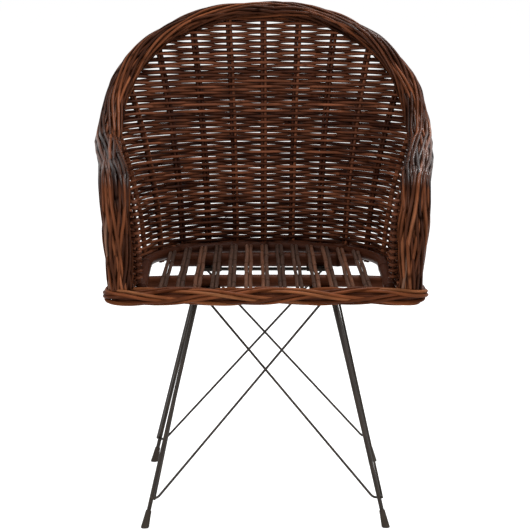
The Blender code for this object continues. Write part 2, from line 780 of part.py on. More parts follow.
for side_x in (-1, 1):
    for side_y in (-1, 1):
        make_leg(side_x, side_y)
        make_plate(side_x, side_y)
make_ring()
make_braces()
make_hoop()
hoop_saddle = make_saddle_cutter()
make_cross_rail("front_cross_rail", FRONT_RAIL_Y, FRONT_RAIL_DIAMETER, hoop_saddle)
make_cross_rail("rear_cross_rail", REAR_RAIL_Y, REAR_RAIL_DIAMETER, hoop_saddle)
make_seat_rods()
make_rim()
make_wall()
make_borders()
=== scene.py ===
"""Looks of the woven rattan tub armchair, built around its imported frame.

Metres, +Z up, in the frame's own coordinates. The chair faces -Y and stands on z = 0.
"""

import math

import bmesh
import bpy
import numpy as np
from mathutils import Matrix, Vector


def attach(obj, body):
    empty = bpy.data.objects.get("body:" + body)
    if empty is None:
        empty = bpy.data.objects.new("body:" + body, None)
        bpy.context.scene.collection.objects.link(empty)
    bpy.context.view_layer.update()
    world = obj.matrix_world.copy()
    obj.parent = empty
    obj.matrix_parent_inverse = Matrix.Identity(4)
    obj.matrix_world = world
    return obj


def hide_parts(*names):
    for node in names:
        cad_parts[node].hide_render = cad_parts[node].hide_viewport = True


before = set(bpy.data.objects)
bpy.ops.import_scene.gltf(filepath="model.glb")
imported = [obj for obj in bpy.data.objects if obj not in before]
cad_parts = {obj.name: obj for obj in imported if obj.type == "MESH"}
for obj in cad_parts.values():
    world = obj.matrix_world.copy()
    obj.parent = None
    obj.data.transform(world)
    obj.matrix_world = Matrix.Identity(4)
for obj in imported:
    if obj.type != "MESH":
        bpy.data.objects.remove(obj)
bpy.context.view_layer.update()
BODY = "root"
draw = np.random.default_rng(20)

# Sizes of the solids that these pieces stand for
GAP = 0.0003
FOOT_SPACING = 0.420
RING_SIDE = 0.2404
RING_HEIGHT = 0.394
RING_DIAMETER = 0.0066
RING_CORNER = 0.008
LEG_DIAMETER = 0.0066
BRACE_DIAMETER = 0.0034
BRACE_LOW = 0.050
BRACE_TOP_DROP = 0.0030
BRACE_TOP_INSET = 0.0125
BRACE_LOW_WELD = 0.010
BRACE_TOP_WELD = 0.003
FOOT_HEIGHT = 0.031
FOOT_TOP_DIAMETER = 0.0098
FOOT_BOTTOM_DIAMETER = 0.0142
FOOT_SOLE = 0.007
FOOT_EDGE = 0.0012
HOOP_WIDTH = 0.424
HOOP_REAR = 0.1675
HOOP_CORNER = 0.165
HOOP_DIAMETER = 0.019
FRONT_RAIL_DIAMETER = 0.022
REAR_RAIL_DIAMETER = 0.026
FRONT_RAIL_Y = -0.096
REAR_RAIL_Y = 0.112
SEAT_RAIL_DIAMETER = 0.019
SEAT_RAIL_OVERHANG = 0.005
ROD_DIAMETER = 0.007
ROD_PAIRS = 13
ROD_PITCH_FRONT = 0.0292
ROD_PITCH_REAR = 0.0280
ROD_OVERHANG = 0.008
BORDER_DIAMETER = 0.029
BORDER_RISE = 0.0028
BORDER_FRONT_Y = -0.250
RIM_ACROSS = 0.047
RIM_ARM_ACROSS = 0.054
RIM_FOOT_ACROSS = 0.045
RIM_DEEP = 0.036
RIM_OFFSET = 0.009
RIM_POST_Y = -0.240
RIM_POST_WIDTH = 0.492
RIM_ARM_FRONT_WIDTH = 0.506
RIM_ARCH_WIDTH = 0.560
RIM_ARM_HEIGHT = 0.606
RIM_ARCH_START_Y = 0.030
RIM_ARCH_START_HEIGHT = 0.645
RIM_TOP_Y = 0.241
RIM_TOP_HEIGHT = 0.861
RIM_ARM_CORNER = 0.062
RIM_CORE_DIAMETER = 0.016
ARCH_ROUNDNESS = 2.2
ARCH_PLAN_ROUNDNESS = 3.8
ARCH_STEP_GROWTH = 1.6
WALL_FAN = 0.93
WALL_FLARE = 0.85
STAKES_EACH_SIDE = 10
STAKE_DIAMETER = 0.0054
WEAVER_DIAMETER = 0.0058
WEAVER_SWING = 0.0052
ROW_PITCH = 0.00545
FIRST_ROW_RISE = 0.004
PLATE_THICKNESS = 0.0025
LEG_TOP_SPACING = RING_SIDE - 2 * RING_CORNER * (1 - math.sqrt(0.5))
FRAME_TOP = RING_HEIGHT + RING_DIAMETER / 2 + GAP + PLATE_THICKNESS + GAP + REAR_RAIL_DIAMETER
ROD_HEIGHT = FRAME_TOP + GAP + ROD_DIAMETER / 2
HOOP_STRAIGHT = HOOP_WIDTH / 2 - HOOP_CORNER
HOOP_CENTRE_Y = HOOP_REAR - HOOP_CORNER
SEAT_RAIL_HEIGHT = FRAME_TOP - SEAT_RAIL_DIAMETER / 2
BORDER_HEIGHT = SEAT_RAIL_HEIGHT + BORDER_RISE
WALL_BOTTOM = FRAME_TOP - SEAT_RAIL_DIAMETER
WALL_THICKNESS = 2 * WEAVER_SWING + WEAVER_DIAMETER
WALL_OFFSET = (HOOP_DIAMETER + WALL_THICKNESS) / 2
WALL_FRONT_Y = RIM_POST_Y + RIM_DEEP / 2 + GAP
RIM_BOTTOM = BORDER_HEIGHT + BORDER_DIAMETER / 2 + GAP
SEAT_RAIL_Y = BORDER_FRONT_Y + math.sqrt(
    ((BORDER_DIAMETER + SEAT_RAIL_DIAMETER) / 2) ** 2 - BORDER_RISE ** 2)

# Sides of the rods' meshes
WEAVE_SIDES = 8
FILLER_SIDES = 7
PLAIT_SIDES = 10
POLE_SIDES = 20
SEAT_ROD_SIDES = 12
WIRE_SIDES = 14

# Margins on the rods' maps
MAP_MARGIN = 0.01
STRIP_MARGIN = 0.06
STRIP_SPACING = 1.02

# Mirrors the right half of the chair to the left
MIRROR = np.array([-1.0, 1.0, 1.0])

# Coat and bends of the wires, and how far the ends of the front cross rail bow down
LEG_COAT = 0.0005
BRACE_COAT = 0.0004
BEND_STEPS = 10
FRONT_RAIL_BOW = 0.003
RAIL_STRAIGHT = 0.4

# Seeded tones: each row holds up to its chance and gives a tone between its other two values
# Most uprights take dark tones: partly their own dark colour, partly painted shade for the shadow they
# stand in behind the rows
STAKE_CHANCES = ((0.65, 0.08, 0.3), (1.0, 0.6, 0.95))
WEAVER_CHANCES = ((0.66, 0.05, 0.5), (0.90, 0.5, 0.72), (0.97, 0.72, 0.85), (1.0, 0.85, 0.92))
RIM_CHANCES = ((0.25, 0.0, 0.15), (0.70, 0.2, 0.55), (0.92, 0.55, 0.85), (1.0, 0.9, 1.0))

# How far seat rods stray across and up
ROD_CROOK = 0.0010
ROD_WAVE = 0.0004

# Knots of a rod
KNOT_LENGTH = 0.0035
KNOT_SWELL = 0.07
KNOT_REACH = 0.006

# Uprights of the wall
STAKE_APART = 0.0061
STAKE_SIZES = (1.12, 1.22)
STAKE_LAST_SHARE = 0.985
STAKE_TUCK = 0.006
STAKE_WANDER = 0.0005

# Woven rows
FIRST_ROW = WALL_BOTTOM + FIRST_ROW_RISE
WEAVE_BANDS = 6
WEAVE_TOP_GAP = 0.012
ROW_RIM_GAP = 0.007
ROW_LAST_SHARE = 1.02
FRONT_STRETCH = 0.5
ROW_WANDER = 0.0004
ROW_JITTER = 0.0002
WEAVER_SPANS = (5, 11)
WEAVER_LEAST_SPAN = 2.5
WEAVER_SIZES = (0.94, 1.05)
WEAVER_SHARPNESS = (0.75, 1.2)
WEAVER_PALEST = 0.92
WEAVE_CLOSING = 0.04
STAKE_PITCH = 0.06
STEPS_PER_STAKE = 10
SLANT_HEIGHTS = (0.45, 0.53, 0.62, 0.71, 0.80)
SLANTS = (-0.03, 0.01, 0.065, 0.08, -0.20)

# Turns of the weave round an upright beside each post
LADDER_LOW = 0.442
LADDER_HIGH = 0.590
LADDER_INSET = 0.0065
LADDER_UPRIGHT = 0.0050
LADDER_BEHIND = 0.018
TURN_START = (0.006, 0.002)
TURN_ANGLES = (50, 190)
TURN_SHARE = 0.96
TURN_JITTER = 0.0004
TURN_SIZES = (0.92, 1.05)
TURN_TONES = (0.3, 0.65)

# Plaited rim and borders
FILLER_ROD = 0.008
FILLER_STEP = 0.016
PLAIT_STEP = 0.007
PLAIT_SINK = 1.3
RIM_ROD = 0.0064
RIM_FILLERS = 14
RIM_FILLER_INSET = 0.009
RIM_LAY_PLACES = (0.0, 0.13, 0.18, 0.40, 0.50)
RIM_LAYS = (1.0, 1.0, 2.2, 2.2, 1.15)
# Tone shifts at lengths from a foot of the rim: painted light on the posts, painted shade on the arms,
# a little painted light where the arch begins
RIM_PAINTED_LIGHT_PLACES = (0.0, 0.13, 0.19, 0.34, 0.46, 0.70)
RIM_PAINTED_LIGHTS = (0.16, 0.16, -0.16, -0.16, 0.06, 0.0)
RIM_EVENNESS = (0.0, 0.0, 0.2, 0.2, 0.1, 0.4)
RIM_EVEN_TONE = 0.4
RIM_LEAD = 0.7
RIM_LEAD_SPREAD = 0.25
RIM_LEAD_START = 0.22
RIM_LEAD_GROWTH = 0.2
RIM_BUNDLES = 7
RIM_RISE = 0.0023
RIM_STRAY = 2.6
RIM_BULGE = 0.0008
RIM_TUCK = 0.008
BORDER_ROD = 0.0063
BORDER_SWELL = 0.0024
BORDER_TURNS = 11
BORDER_BUNDLES = 3
BORDER_FILLERS = 4
BORDER_FILLER_INSET = 0.010
BORDER_CORNER = 0.020
BORDER_SPREAD = 0.009
BORDER_SPREAD_START = -0.10
BORDER_SPREAD_LENGTH = 0.12
BORDER_RISE_LIMIT = 0.0017
BORDER_STRAY = 0.4


# Materials

def linear(srgb):
    """Linear colour with alpha from 8-bit sRGB."""
    values = []
    for channel in srgb:
        value = channel / 255
        values.append(value / 12.92 if value <= 0.04045 else ((value + 0.055) / 1.055) ** 2.4)
    return (*values, 1.0)


def set_inputs(node, values):
    """Set constants on a node's sockets."""
    for label, value in values.items():
        node.inputs[label].default_value = value


class Nodes:
    """Short way to build one material's node tree."""

    def __init__(self, name):
        self.material = bpy.data.materials.new(name)
        self.material.use_nodes = True
        self.tree = self.material.node_tree
        self.shader = self.tree.nodes["Principled BSDF"]

    def add(self, kind, **settings):
        node = self.tree.nodes.new("ShaderNode" + kind)
        for key, value in settings.items():
            setattr(node, key, value)
        return node

    def link(self, source, target):
        self.tree.links.new(source, target)

    def read(self, name, output):
        """Output of a mesh attribute."""
        return self.add("Attribute", attribute_name=name).outputs[output]

    def noise(self, vector, stretch, detail):
        """Noise over a vector that is first scaled by stretch, so that it can run along a rod."""
        mapping = self.add("Mapping")
        set_inputs(mapping, {"Scale": stretch})
        self.link(vector, mapping.inputs["Vector"])
        texture = self.add("TexNoise")
        set_inputs(texture, {"Scale": 1.0, "Detail": detail})
        self.link(mapping.outputs["Vector"], texture.inputs["Vector"])
        return texture.outputs["Fac"]

    def ramp(self, factor, stops):
        """Colour ramp with (position, 8-bit sRGB colour) stops."""
        node = self.add("ValToRGB")
        elements = node.color_ramp.elements
        while len(elements) < len(stops):
            elements.new(0.5)
        for element, (position, colour) in zip(elements, stops):
            element.position = position
            element.color = linear(colour)
        self.link(factor, node.inputs["Fac"])
        return node.outputs["Color"]

    def grey(self, factor, low, high, from_low=0.0, from_high=1.0):
        """Map a factor to the range low to high."""
        node = self.add("MapRange")
        set_inputs(node, {"From Min": from_low, "From Max": from_high, "To Min": low, "To Max": high})
        self.link(factor, node.inputs["Value"])
        return node.outputs["Result"]

    def mix(self, kind, factor, one, other):
        """Blend two colours; factor, one and other may be sockets or values."""
        node = self.add("Mix", data_type="RGBA", blend_type=kind)
        for index, value in ((0, factor), (6, one), (7, other)):
            if isinstance(value, bpy.types.NodeSocket):
                self.link(value, node.inputs[index])
            else:
                node.inputs[index].default_value = value
        return node.outputs[2]

    def bump(self, height, strength, distance):
        node = self.add("Bump")
        set_inputs(node, {"Strength": strength, "Distance": distance})
        self.link(height, node.inputs["Height"])
        self.link(node.outputs["Normal"], self.shader.inputs["Normal"])


def rod_material(name, stops, streak, mottle, bark, roughness, gloss, knot_and_crevice_shade):
    """Stained rod: a tone for each rod, streaks along it, dark knots, painted shade in the crevices
    between rods, and fine bark.

    The last argument is the share of the colour left on a knot and in the painted shade of a crevice,
    where the gloss is taken away too.
    """
    nodes = Nodes(name)
    tone = nodes.read("tone", "Fac")
    mark = nodes.read("dark", "Fac")
    grain = nodes.read("grain", "Vector")
    streaks = nodes.noise(grain, (14, 900, 900), 4.0)
    patches = nodes.noise(grain, (38, 120, 120), 3.0)
    colour = nodes.ramp(tone, stops)
    worn = nodes.grey(patches, 1 - mottle, 1 + mottle, 0.3, 0.7)
    colour = nodes.mix("MULTIPLY", 1.0, colour, worn)
    dark = nodes.grey(streaks, 1 - streak, 1 + streak * 0.5, 0.32, 0.68)
    colour = nodes.mix("MULTIPLY", 1.0, colour, dark)
    # Knots darken the colour, and so does the painted shade marked in crevices
    colour = nodes.mix("MULTIPLY", 1.0, colour, nodes.grey(mark, 1.0, knot_and_crevice_shade))
    nodes.link(colour, nodes.shader.inputs["Base Color"])
    rough = nodes.grey(patches, roughness - 0.08, roughness + 0.10, 0.3, 0.7)
    nodes.link(rough, nodes.shader.inputs["Roughness"])
    # No gloss on knots or in the painted shade of crevices
    nodes.link(nodes.grey(mark, gloss, 0.0), nodes.shader.inputs["Specular IOR Level"])
    nodes.bump(streaks, bark, 0.0006)
    return nodes.material


def coat_material(name, colour, worn, roughness, gloss):
    """Powder coat or rubber: a fine orange peel with faint rubbed patches."""
    nodes = Nodes(name)
    position = nodes.add("TexCoord").outputs["Object"]
    peel = nodes.noise(position, (1800, 1800, 1800), 2.0)
    patches = nodes.noise(position, (28, 28, 28), 3.0)
    mixed = nodes.mix("MIX", nodes.grey(patches, 0.0, 1.0, 0.45, 0.75), linear(colour), linear(worn))
    nodes.link(mixed, nodes.shader.inputs["Base Color"])
    rough = nodes.grey(patches, roughness - 0.06, roughness + 0.08, 0.3, 0.7)
    nodes.link(rough, nodes.shader.inputs["Roughness"])
    set_inputs(nodes.shader, {"Specular IOR Level": gloss})
    nodes.bump(peel, 0.12, 0.0002)
    return nodes.material


WEAVE = rod_material(
    "rattan_weave_strands",
    [(0.00, (44, 18, 8)), (0.45, (84, 46, 29)), (0.72, (110, 64, 43)), (0.92, (127, 75, 51)),
     (1.00, (132, 98, 79))],
    streak=0.40, mottle=0.22, bark=0.25, roughness=0.40, gloss=0.06, knot_and_crevice_shade=0.42)
RIM = rod_material(
    "rattan_rim_strands",
    [(0.00, (30, 13, 7)), (0.40, (73, 39, 23)), (0.75, (112, 63, 38)), (0.92, (134, 81, 53)),
     (1.00, (128, 94, 76))],
    streak=0.42, mottle=0.25, bark=0.28, roughness=0.24, gloss=0.06, knot_and_crevice_shade=0.18)
BORDER = rod_material(
    "rattan_border_strands",
    [(0.00, (58, 28, 15)), (0.40, (88, 46, 26)), (0.80, (117, 65, 38)), (1.00, (136, 86, 54))],
    streak=0.42, mottle=0.22, bark=0.28, roughness=0.38, gloss=0.06, knot_and_crevice_shade=0.62)
BARK = rod_material(
    "seat_rod_bark",
    [(0.00, (52, 35, 27)), (0.45, (68, 47, 37)), (0.80, (86, 54, 38)), (1.00, (95, 69, 56))],
    streak=0.45, mottle=0.25, bark=0.45, roughness=0.50, gloss=0.06, knot_and_crevice_shade=0.36)
POLE = rod_material(
    "smooth_pole",
    [(0.00, (48, 23, 13)), (0.60, (64, 32, 18)), (1.00, (78, 41, 24))],
    streak=0.30, mottle=0.18, bark=0.15, roughness=0.40, gloss=0.04, knot_and_crevice_shade=0.36)
STEEL = coat_material("black_powder_coat", (38, 31, 26), (56, 47, 40), roughness=0.42, gloss=0.18)
RUBBER = coat_material("foot_rubber", (54, 47, 41), (70, 62, 55), roughness=0.70, gloss=0.10)


# Rods as meshes

def unit(vectors):
    """Vectors scaled to a length of one."""
    return vectors / np.linalg.norm(vectors, axis=-1, keepdims=True)


def lengths_along(points):
    """Length from the first point to each point."""
    return np.concatenate([[0.0], np.cumsum(np.linalg.norm(np.diff(points, axis=0), axis=1))])


def read_rows(at, places, table):
    """Rows of a table that belong to rising places, read between them."""
    return np.stack([np.interp(at, places, column) for column in table.T], -1)


def map_corners(*corners):
    """Map corners of faces, given as pairs of along and across."""
    return np.stack([np.stack(np.broadcast_arrays(u, v), -1) for u, v in corners], -2).reshape(-1, 2)


class Rods:
    """Round rods gathered in one mesh, with a tone, a dark mark for knots and painted crevice shade,
    and a grain direction at each point.
    """

    def __init__(self, sides):
        self.sides = sides
        self.points, self.tones, self.darks, self.grains, self.rods = [], [], [], [], []
        self.count = 0

    def add(self, path, radius, tone, knots=(), facing=None):
        """Add a rod along the path, with its radius at each point and knots at lengths along it.

        facing is the way in which the rod lies open at each point: its other sides get painted shade,
        as if shaded in the crevices between rods.
        """
        path = np.asarray(path, float)
        radius = np.broadcast_to(np.asarray(radius, float), len(path)).copy()
        along = lengths_along(path)
        mark = np.zeros(len(path))
        for knot in knots:
            mark = np.maximum(mark, np.exp(-((along - knot) / KNOT_LENGTH) ** 2))
            radius = radius * (1 + KNOT_SWELL * np.exp(-((along - knot) / KNOT_REACH) ** 2))
        side_way, other_way = carried_frames(path)
        angles = np.arange(self.sides) * 2 * np.pi / self.sides
        ways = (
            np.cos(angles)[None, :, None] * side_way[:, None, :]
            + np.sin(angles)[None, :, None] * other_way[:, None, :])
        rings = path[:, None, :] + radius[:, None, None] * ways
        dark = np.repeat(mark[:, None], self.sides, axis=1)
        # Painted shade: sides turned away from the open way are marked dark, standing in for the shade
        # of the rods beside them
        if facing is not None:
            openness = np.einsum("psk,pk->ps", ways, facing)
            dark = np.maximum(dark, 1 - openness ** 2)
        shift = draw.uniform(0, 50)
        grain = np.empty_like(rings)
        grain[:, :, 0] = along[:, None] + shift
        grain[:, :, 1] = radius[:, None] * np.cos(angles) + shift
        grain[:, :, 2] = radius[:, None] * np.sin(angles)
        end_grain = np.array([[shift, shift, 0.0], [along[-1] + shift, shift, 0.0]])
        self.points.append(np.concatenate([rings.reshape(-1, 3), path[[0, -1]]]))
        self.grains.append(np.concatenate([grain.reshape(-1, 3), end_grain]))
        tone = np.clip(np.broadcast_to(np.asarray(tone, float), len(path)), 0, 1)
        self.tones.append(np.concatenate([np.repeat(tone, self.sides), tone[[0, -1]]]))
        self.darks.append(np.concatenate([dark.reshape(-1), [0.0, 0.0]]))
        self.rods.append((self.count, len(path), along))
        self.count += len(path) * self.sides + 2

    def build(self, name, material, slot, *nodes):
        """Make the piece, with a map that lays every rod out as a strip of its own."""
        quads, tris, quad_maps, tri_maps = [], [], [], []
        strips = strip_places([along[-1] for _, _, along in self.rods])
        sides = np.arange(self.sides)
        following = (sides + 1) % self.sides
        for (start, rings, along), (left, low, scale, high) in zip(self.rods, strips):
            base = start + np.arange(rings - 1)[:, None] * self.sides
            after = base + self.sides
            ring_quads = [base + sides, base + following, after + following, after + sides]
            quads.append(np.stack(ring_quads, axis=-1).reshape(-1, 4))
            v_low = low + high * sides / self.sides
            v_high = low + high * (sides + 1) / self.sides
            u = left + scale * along
            u_start, u_end = u[:-1, None], u[1:, None]
            quad_maps.append(
                map_corners((u_start, v_low), (u_start, v_high), (u_end, v_high), (u_end, v_low)))
            last = start + (rings - 1) * self.sides
            centre = np.full(self.sides, start + rings * self.sides)
            tris.append(np.stack([start + following, start + sides, centre], -1))
            tris.append(np.stack([last + sides, last + following, centre + 1], -1))
            for edge in (u[0], u[-1]):
                tri_maps.append(
                    map_corners((edge, v_low), (edge, v_high), (edge, (v_low + v_high) / 2)))
        quads = np.concatenate(quads)
        tris = np.concatenate(tris)
        mesh = bpy.data.meshes.new(name)
        mesh.vertices.add(self.count)
        mesh.vertices.foreach_set("co", np.concatenate(self.points).ravel())
        corners = np.concatenate([quads.ravel(), tris.ravel()])
        mesh.loops.add(len(corners))
        mesh.loops.foreach_set("vertex_index", corners.astype(np.int32))
        mesh.polygons.add(len(quads) + len(tris))
        starts = np.concatenate([
            np.arange(len(quads)) * 4, len(quads) * 4 + np.arange(len(tris)) * 3])
        mesh.polygons.foreach_set("loop_start", starts.astype(np.int32))
        mesh.update(calc_edges=True)
        mesh.shade_smooth()
        layer = mesh.uv_layers.new(name="OFBake")
        layer.uv.foreach_set("vector", np.concatenate(quad_maps + tri_maps).astype(np.float32).ravel())
        for label, kind, key, values in (
                ("tone", "FLOAT", "value", self.tones), ("dark", "FLOAT", "value", self.darks),
                ("grain", "FLOAT_VECTOR", "vector", self.grains)):
            attribute = mesh.attributes.new(label, kind, "POINT")
            attribute.data.foreach_set(key, np.concatenate(values).astype(np.float32).ravel())
        dress(name, mesh, material, slot, *nodes)


def strip_places(lengths):
    """For each rod, its strip on a square map: left, low, scale along and height across."""
    longest = max(lengths)
    shelves = []
    placed = {}
    for index in sorted(range(len(lengths)), key=lambda index: -lengths[index]):
        for number, used in enumerate(shelves):
            if used + lengths[index] <= longest:
                placed[index] = (used, number)
                shelves[number] += lengths[index] * STRIP_SPACING
                break
        else:
            placed[index] = (0.0, len(shelves))
            shelves.append(lengths[index] * STRIP_SPACING)
    height = 1 / len(shelves)
    scale = (1 - 2 * MAP_MARGIN) / longest
    across = height * (1 - 2 * STRIP_MARGIN)
    strips = []
    for index in range(len(lengths)):
        used, number = placed[index]
        strips.append((MAP_MARGIN + used * scale, (number + STRIP_MARGIN) * height, scale, across))
    return strips


def carried_frames(path):
    """Two unit vectors across the path at each point, carried along it without twisting."""
    tangents = unit(np.gradient(path, axis=0))
    helper = (0, 0, 1) if abs(tangents[0][2]) < 0.9 else (1, 0, 0)
    side = np.cross(tangents[0], helper)
    sides = np.empty_like(path)
    for index, tangent in enumerate(tangents):
        side = unit(side - tangent * side.dot(tangent))
        sides[index] = side
    return sides, np.cross(tangents, sides)


def drift(along, wavelength):
    """Slow seeded wander between about -1 and 1 at each length along a rod."""
    total = np.zeros_like(along)
    for octave in (1.0, 1.7, 2.9):
        total += np.sin(2 * np.pi * along * octave / wavelength + draw.uniform(0, 2 * np.pi)) / octave
    return total / 1.93


def seeded_tone(chances):
    """Tone from the row of chances that a seeded draw falls in."""
    chance = draw.uniform()
    for limit, low, high in chances:
        if chance < limit:
            break
    return draw.uniform(low, high)


def knots_along(length, least, most):
    """Seeded places of knots along a rod."""
    places = []
    here = draw.uniform(0, most)
    while here < length:
        places.append(here)
        here += draw.uniform(least, most)
    return places


def place(name, data):
    """Put data into the scene as an object."""
    made = bpy.data.objects.new(name, data)
    bpy.context.scene.collection.objects.link(made)
    return made


def dress(name, mesh, material, slot, *nodes):
    """Make a piece that rides on the chair with the material and stands for the nodes, which are
    hidden; slot is not used.
    """
    mesh.materials.append(material)
    piece = place(name, mesh)
    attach(piece, BODY)
    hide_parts(*nodes)


# Shape of the rim and the wall

class Path:
    """Points with frames, read by length along them."""

    def __init__(self, points, outward, across):
        self.points = np.asarray(points, float)
        tangents = unit(np.gradient(self.points, axis=0))
        outward = np.asarray(outward, float)
        self.outward = unit(outward - tangents * np.sum(outward * tangents, axis=1)[:, None])
        self.inward = np.cross(self.outward, tangents)
        self.across = np.asarray(across, float)
        self.along = lengths_along(self.points)
        self.length = self.along[-1]

    def at(self, along):
        """Points, outward and inward vectors and width across at the lengths."""
        tables = (self.points, self.outward, self.inward)
        frames = [read_rows(along, self.along, table) for table in tables]
        return *frames, np.interp(along, self.along, self.across)


def rim_half():
    """Right half of the rim from the foot of the post.

    Each station has a point, an outward normal, a width across and whether the wall hangs there.
    """
    foot = np.array([RIM_POST_WIDTH / 2, RIM_POST_Y, RIM_BOTTOM])
    corner = np.array([RIM_ARM_FRONT_WIDTH / 2, RIM_POST_Y, RIM_ARM_HEIGHT])
    arch = np.array([RIM_ARCH_WIDTH / 2, RIM_ARCH_START_Y, RIM_ARCH_START_HEIGHT])
    up = unit(corner - foot)
    back = unit(arch - corner)
    entry = corner - up * RIM_ARM_CORNER
    leave = corner + back * RIM_ARM_CORNER
    side = np.array([1.0, 0.0, 0.0])
    stations = [(foot - up * RIM_TUCK, side, RIM_FOOT_ACROSS, False)]
    for share in np.linspace(0, 1, 12, endpoint=False):
        across = RIM_FOOT_ACROSS + share * (RIM_ARM_ACROSS - RIM_FOOT_ACROSS)
        stations.append((foot + share * (entry - foot), side, across, False))
    for t in np.linspace(0, 1, 16, endpoint=False):
        bend = entry * (1 - t) ** 2 + corner * 2 * t * (1 - t) + leave * t * t
        stations.append((bend, side, RIM_ARM_ACROSS, True))
    for share in np.linspace(0, 1, 16, endpoint=False):
        across = RIM_ARM_ACROSS + share * (RIM_ACROSS - RIM_ARM_ACROSS)
        stations.append((leave + share * (arch - leave), side, across, True))
    half = RIM_ARCH_WIDTH / 2
    deep = RIM_TOP_Y - RIM_ARCH_START_Y
    high = RIM_TOP_HEIGHT - RIM_ARCH_START_HEIGHT
    for share in np.linspace(0, 1, 61):
        angle = math.pi / 2 * share ** ARCH_STEP_GROWTH
        cosine = max(math.cos(angle), 0.0)
        sine = math.sin(angle)
        point = np.array([
            half * cosine ** (2 / ARCH_ROUNDNESS),
            RIM_ARCH_START_Y + deep * sine ** (2 / ARCH_PLAN_ROUNDNESS),
            RIM_ARCH_START_HEIGHT + high * sine ** (2 / ARCH_ROUNDNESS)])
        stations.append((point, np.array([cosine / half, sine / deep, 0.0]), RIM_ACROSS, True))
    return stations


def rim_path():
    """Whole rim from the left foot over the back to the right foot."""
    right = rim_half()
    left = [(point * MIRROR, normal * MIRROR, *rest) for point, normal, *rest in right]
    points, outward, across, _ = zip(*left, *right[-2::-1])
    return Path(points, outward, across)


RIM_PATH = rim_path()


def u_point(distance, offset):
    """Plan point and outward normal on the seat's U outline, measured from the rear centre."""
    radius = HOOP_CORNER + offset
    arc = radius * math.pi / 2
    turned = distance - HOOP_STRAIGHT
    if turned <= 0:
        return (distance, HOOP_REAR + offset), (0.0, 1.0)
    if turned <= arc:
        normal = (math.sin(turned / radius), math.cos(turned / radius))
        return (HOOP_STRAIGHT + radius * normal[0], HOOP_CENTRE_Y + radius * normal[1]), normal
    return (HOOP_STRAIGHT + radius, HOOP_CENTRE_Y - (turned - arc)), (1.0, 0.0)


def u_length(offset, front_y):
    """Length of half the U outline, from the rear centre to a place across the front."""
    return HOOP_STRAIGHT + (HOOP_CORNER + offset) * math.pi / 2 + HOOP_CENTRE_Y - front_y


class Wall:
    """Middle surface of the woven wall: a share from -1 to 1 round it, and a height."""

    def __init__(self):
        half = [station for station in rim_half() if station[3]][::-1]
        points, outward, across, _ = zip(*half)
        side = Path(points, outward, across)
        self.tops = side.points - side.outward * RIM_OFFSET + side.inward * (RIM_DEEP / 2 + GAP)
        travelled = lengths_along(self.tops[:, :2])
        self.shares = travelled / travelled[-1]
        fanned = self.shares * (WALL_FAN + (1 - WALL_FAN) * self.shares ** 2)
        distances = u_length(WALL_OFFSET, WALL_FRONT_Y) * fanned
        bottoms, normals = zip(*[u_point(distance, WALL_OFFSET) for distance in distances])
        self.rims = side.points
        self.bottoms = np.array(bottoms)
        self.low_normals = np.array([(*normal, 0.0) for normal in normals])
        self.high_normals = side.outward

    def rim_height(self, share):
        return np.interp(np.abs(share), self.shares, self.rims[:, 2])

    def at(self, share, height):
        """Points and outward normals on the wall."""
        share, height = np.broadcast_arrays(np.asarray(share, float), np.asarray(height, float))
        tables = (self.tops, self.bottoms, self.low_normals, self.high_normals)
        rows = [read_rows(np.abs(share), self.shares, table) for table in tables]
        top, bottom, low_normal, high_normal = rows
        rise = (height - WALL_BOTTOM) / (top[..., 2] - WALL_BOTTOM)
        lean = (1 - WALL_FLARE) * rise + WALL_FLARE * rise ** 2
        plan = bottom + (top[..., :2] - bottom) * lean[..., None]
        blend = np.clip(rise, 0, 1)[..., None]
        normal = low_normal * (1 - blend) + high_normal * blend
        steep = ((1 - WALL_FLARE) + 2 * WALL_FLARE * rise) / (top[..., 2] - WALL_BOTTOM)
        flare = (top[..., :2] - bottom) * steep[..., None]
        up = unit(np.concatenate([flare, np.ones_like(height)[..., None]], -1))
        normal = unit(normal - up * np.sum(normal * up, axis=-1)[..., None])
        side = np.where(share < 0, -1.0, 1.0)
        point = np.stack([plan[..., 0] * side, plan[..., 1], height], -1)
        normal[..., 0] *= side
        beyond = np.maximum(np.abs(share) - 1, 0)
        point[..., 1] -= beyond * FRONT_STRETCH
        return point, normal


WALL = Wall()


# Woven wall

def make_stakes():
    """Pairs of uprights from the foot of the wall into the rim."""
    rods = Rods(WEAVE_SIDES)
    for number in range(-STAKES_EACH_SIDE, STAKES_EACH_SIDE + 1):
        share = number / STAKES_EACH_SIDE
        share = math.copysign(min(abs(share), STAKE_LAST_SHARE), share)
        top = float(WALL.rim_height(share)) - STAKE_TUCK
        heights = np.linspace(WALL_BOTTOM, top, 48)
        middle, normals = WALL.at(share, heights)
        ahead, _ = WALL.at(share + 0.004, heights)
        tangent = unit(ahead - middle)
        for side in (-1, 1):
            wander = STAKE_WANDER * drift(heights, 0.12)
            path = middle + tangent * (side * STAKE_APART / 2 + wander)[:, None]
            size = STAKE_DIAMETER / 2 * draw.uniform(*STAKE_SIZES)
            tone = seeded_tone(STAKE_CHANCES)
            rods.add(path, size, tone, knots_along(top - WALL_BOTTOM, 0.10, 0.2), normals)
    rods.build("wall_stakes", WEAVE, "weave", "woven_wall")


def row_reach(height):
    """How far round the wall a level row goes before it runs into the rim."""
    shares = np.linspace(0, ROW_LAST_SHARE, 600)
    room = WALL.rim_height(shares) - ROW_RIM_GAP - height
    blocked = np.nonzero(room < 0)[0]
    return shares[blocked[0]] if len(blocked) else ROW_LAST_SHARE


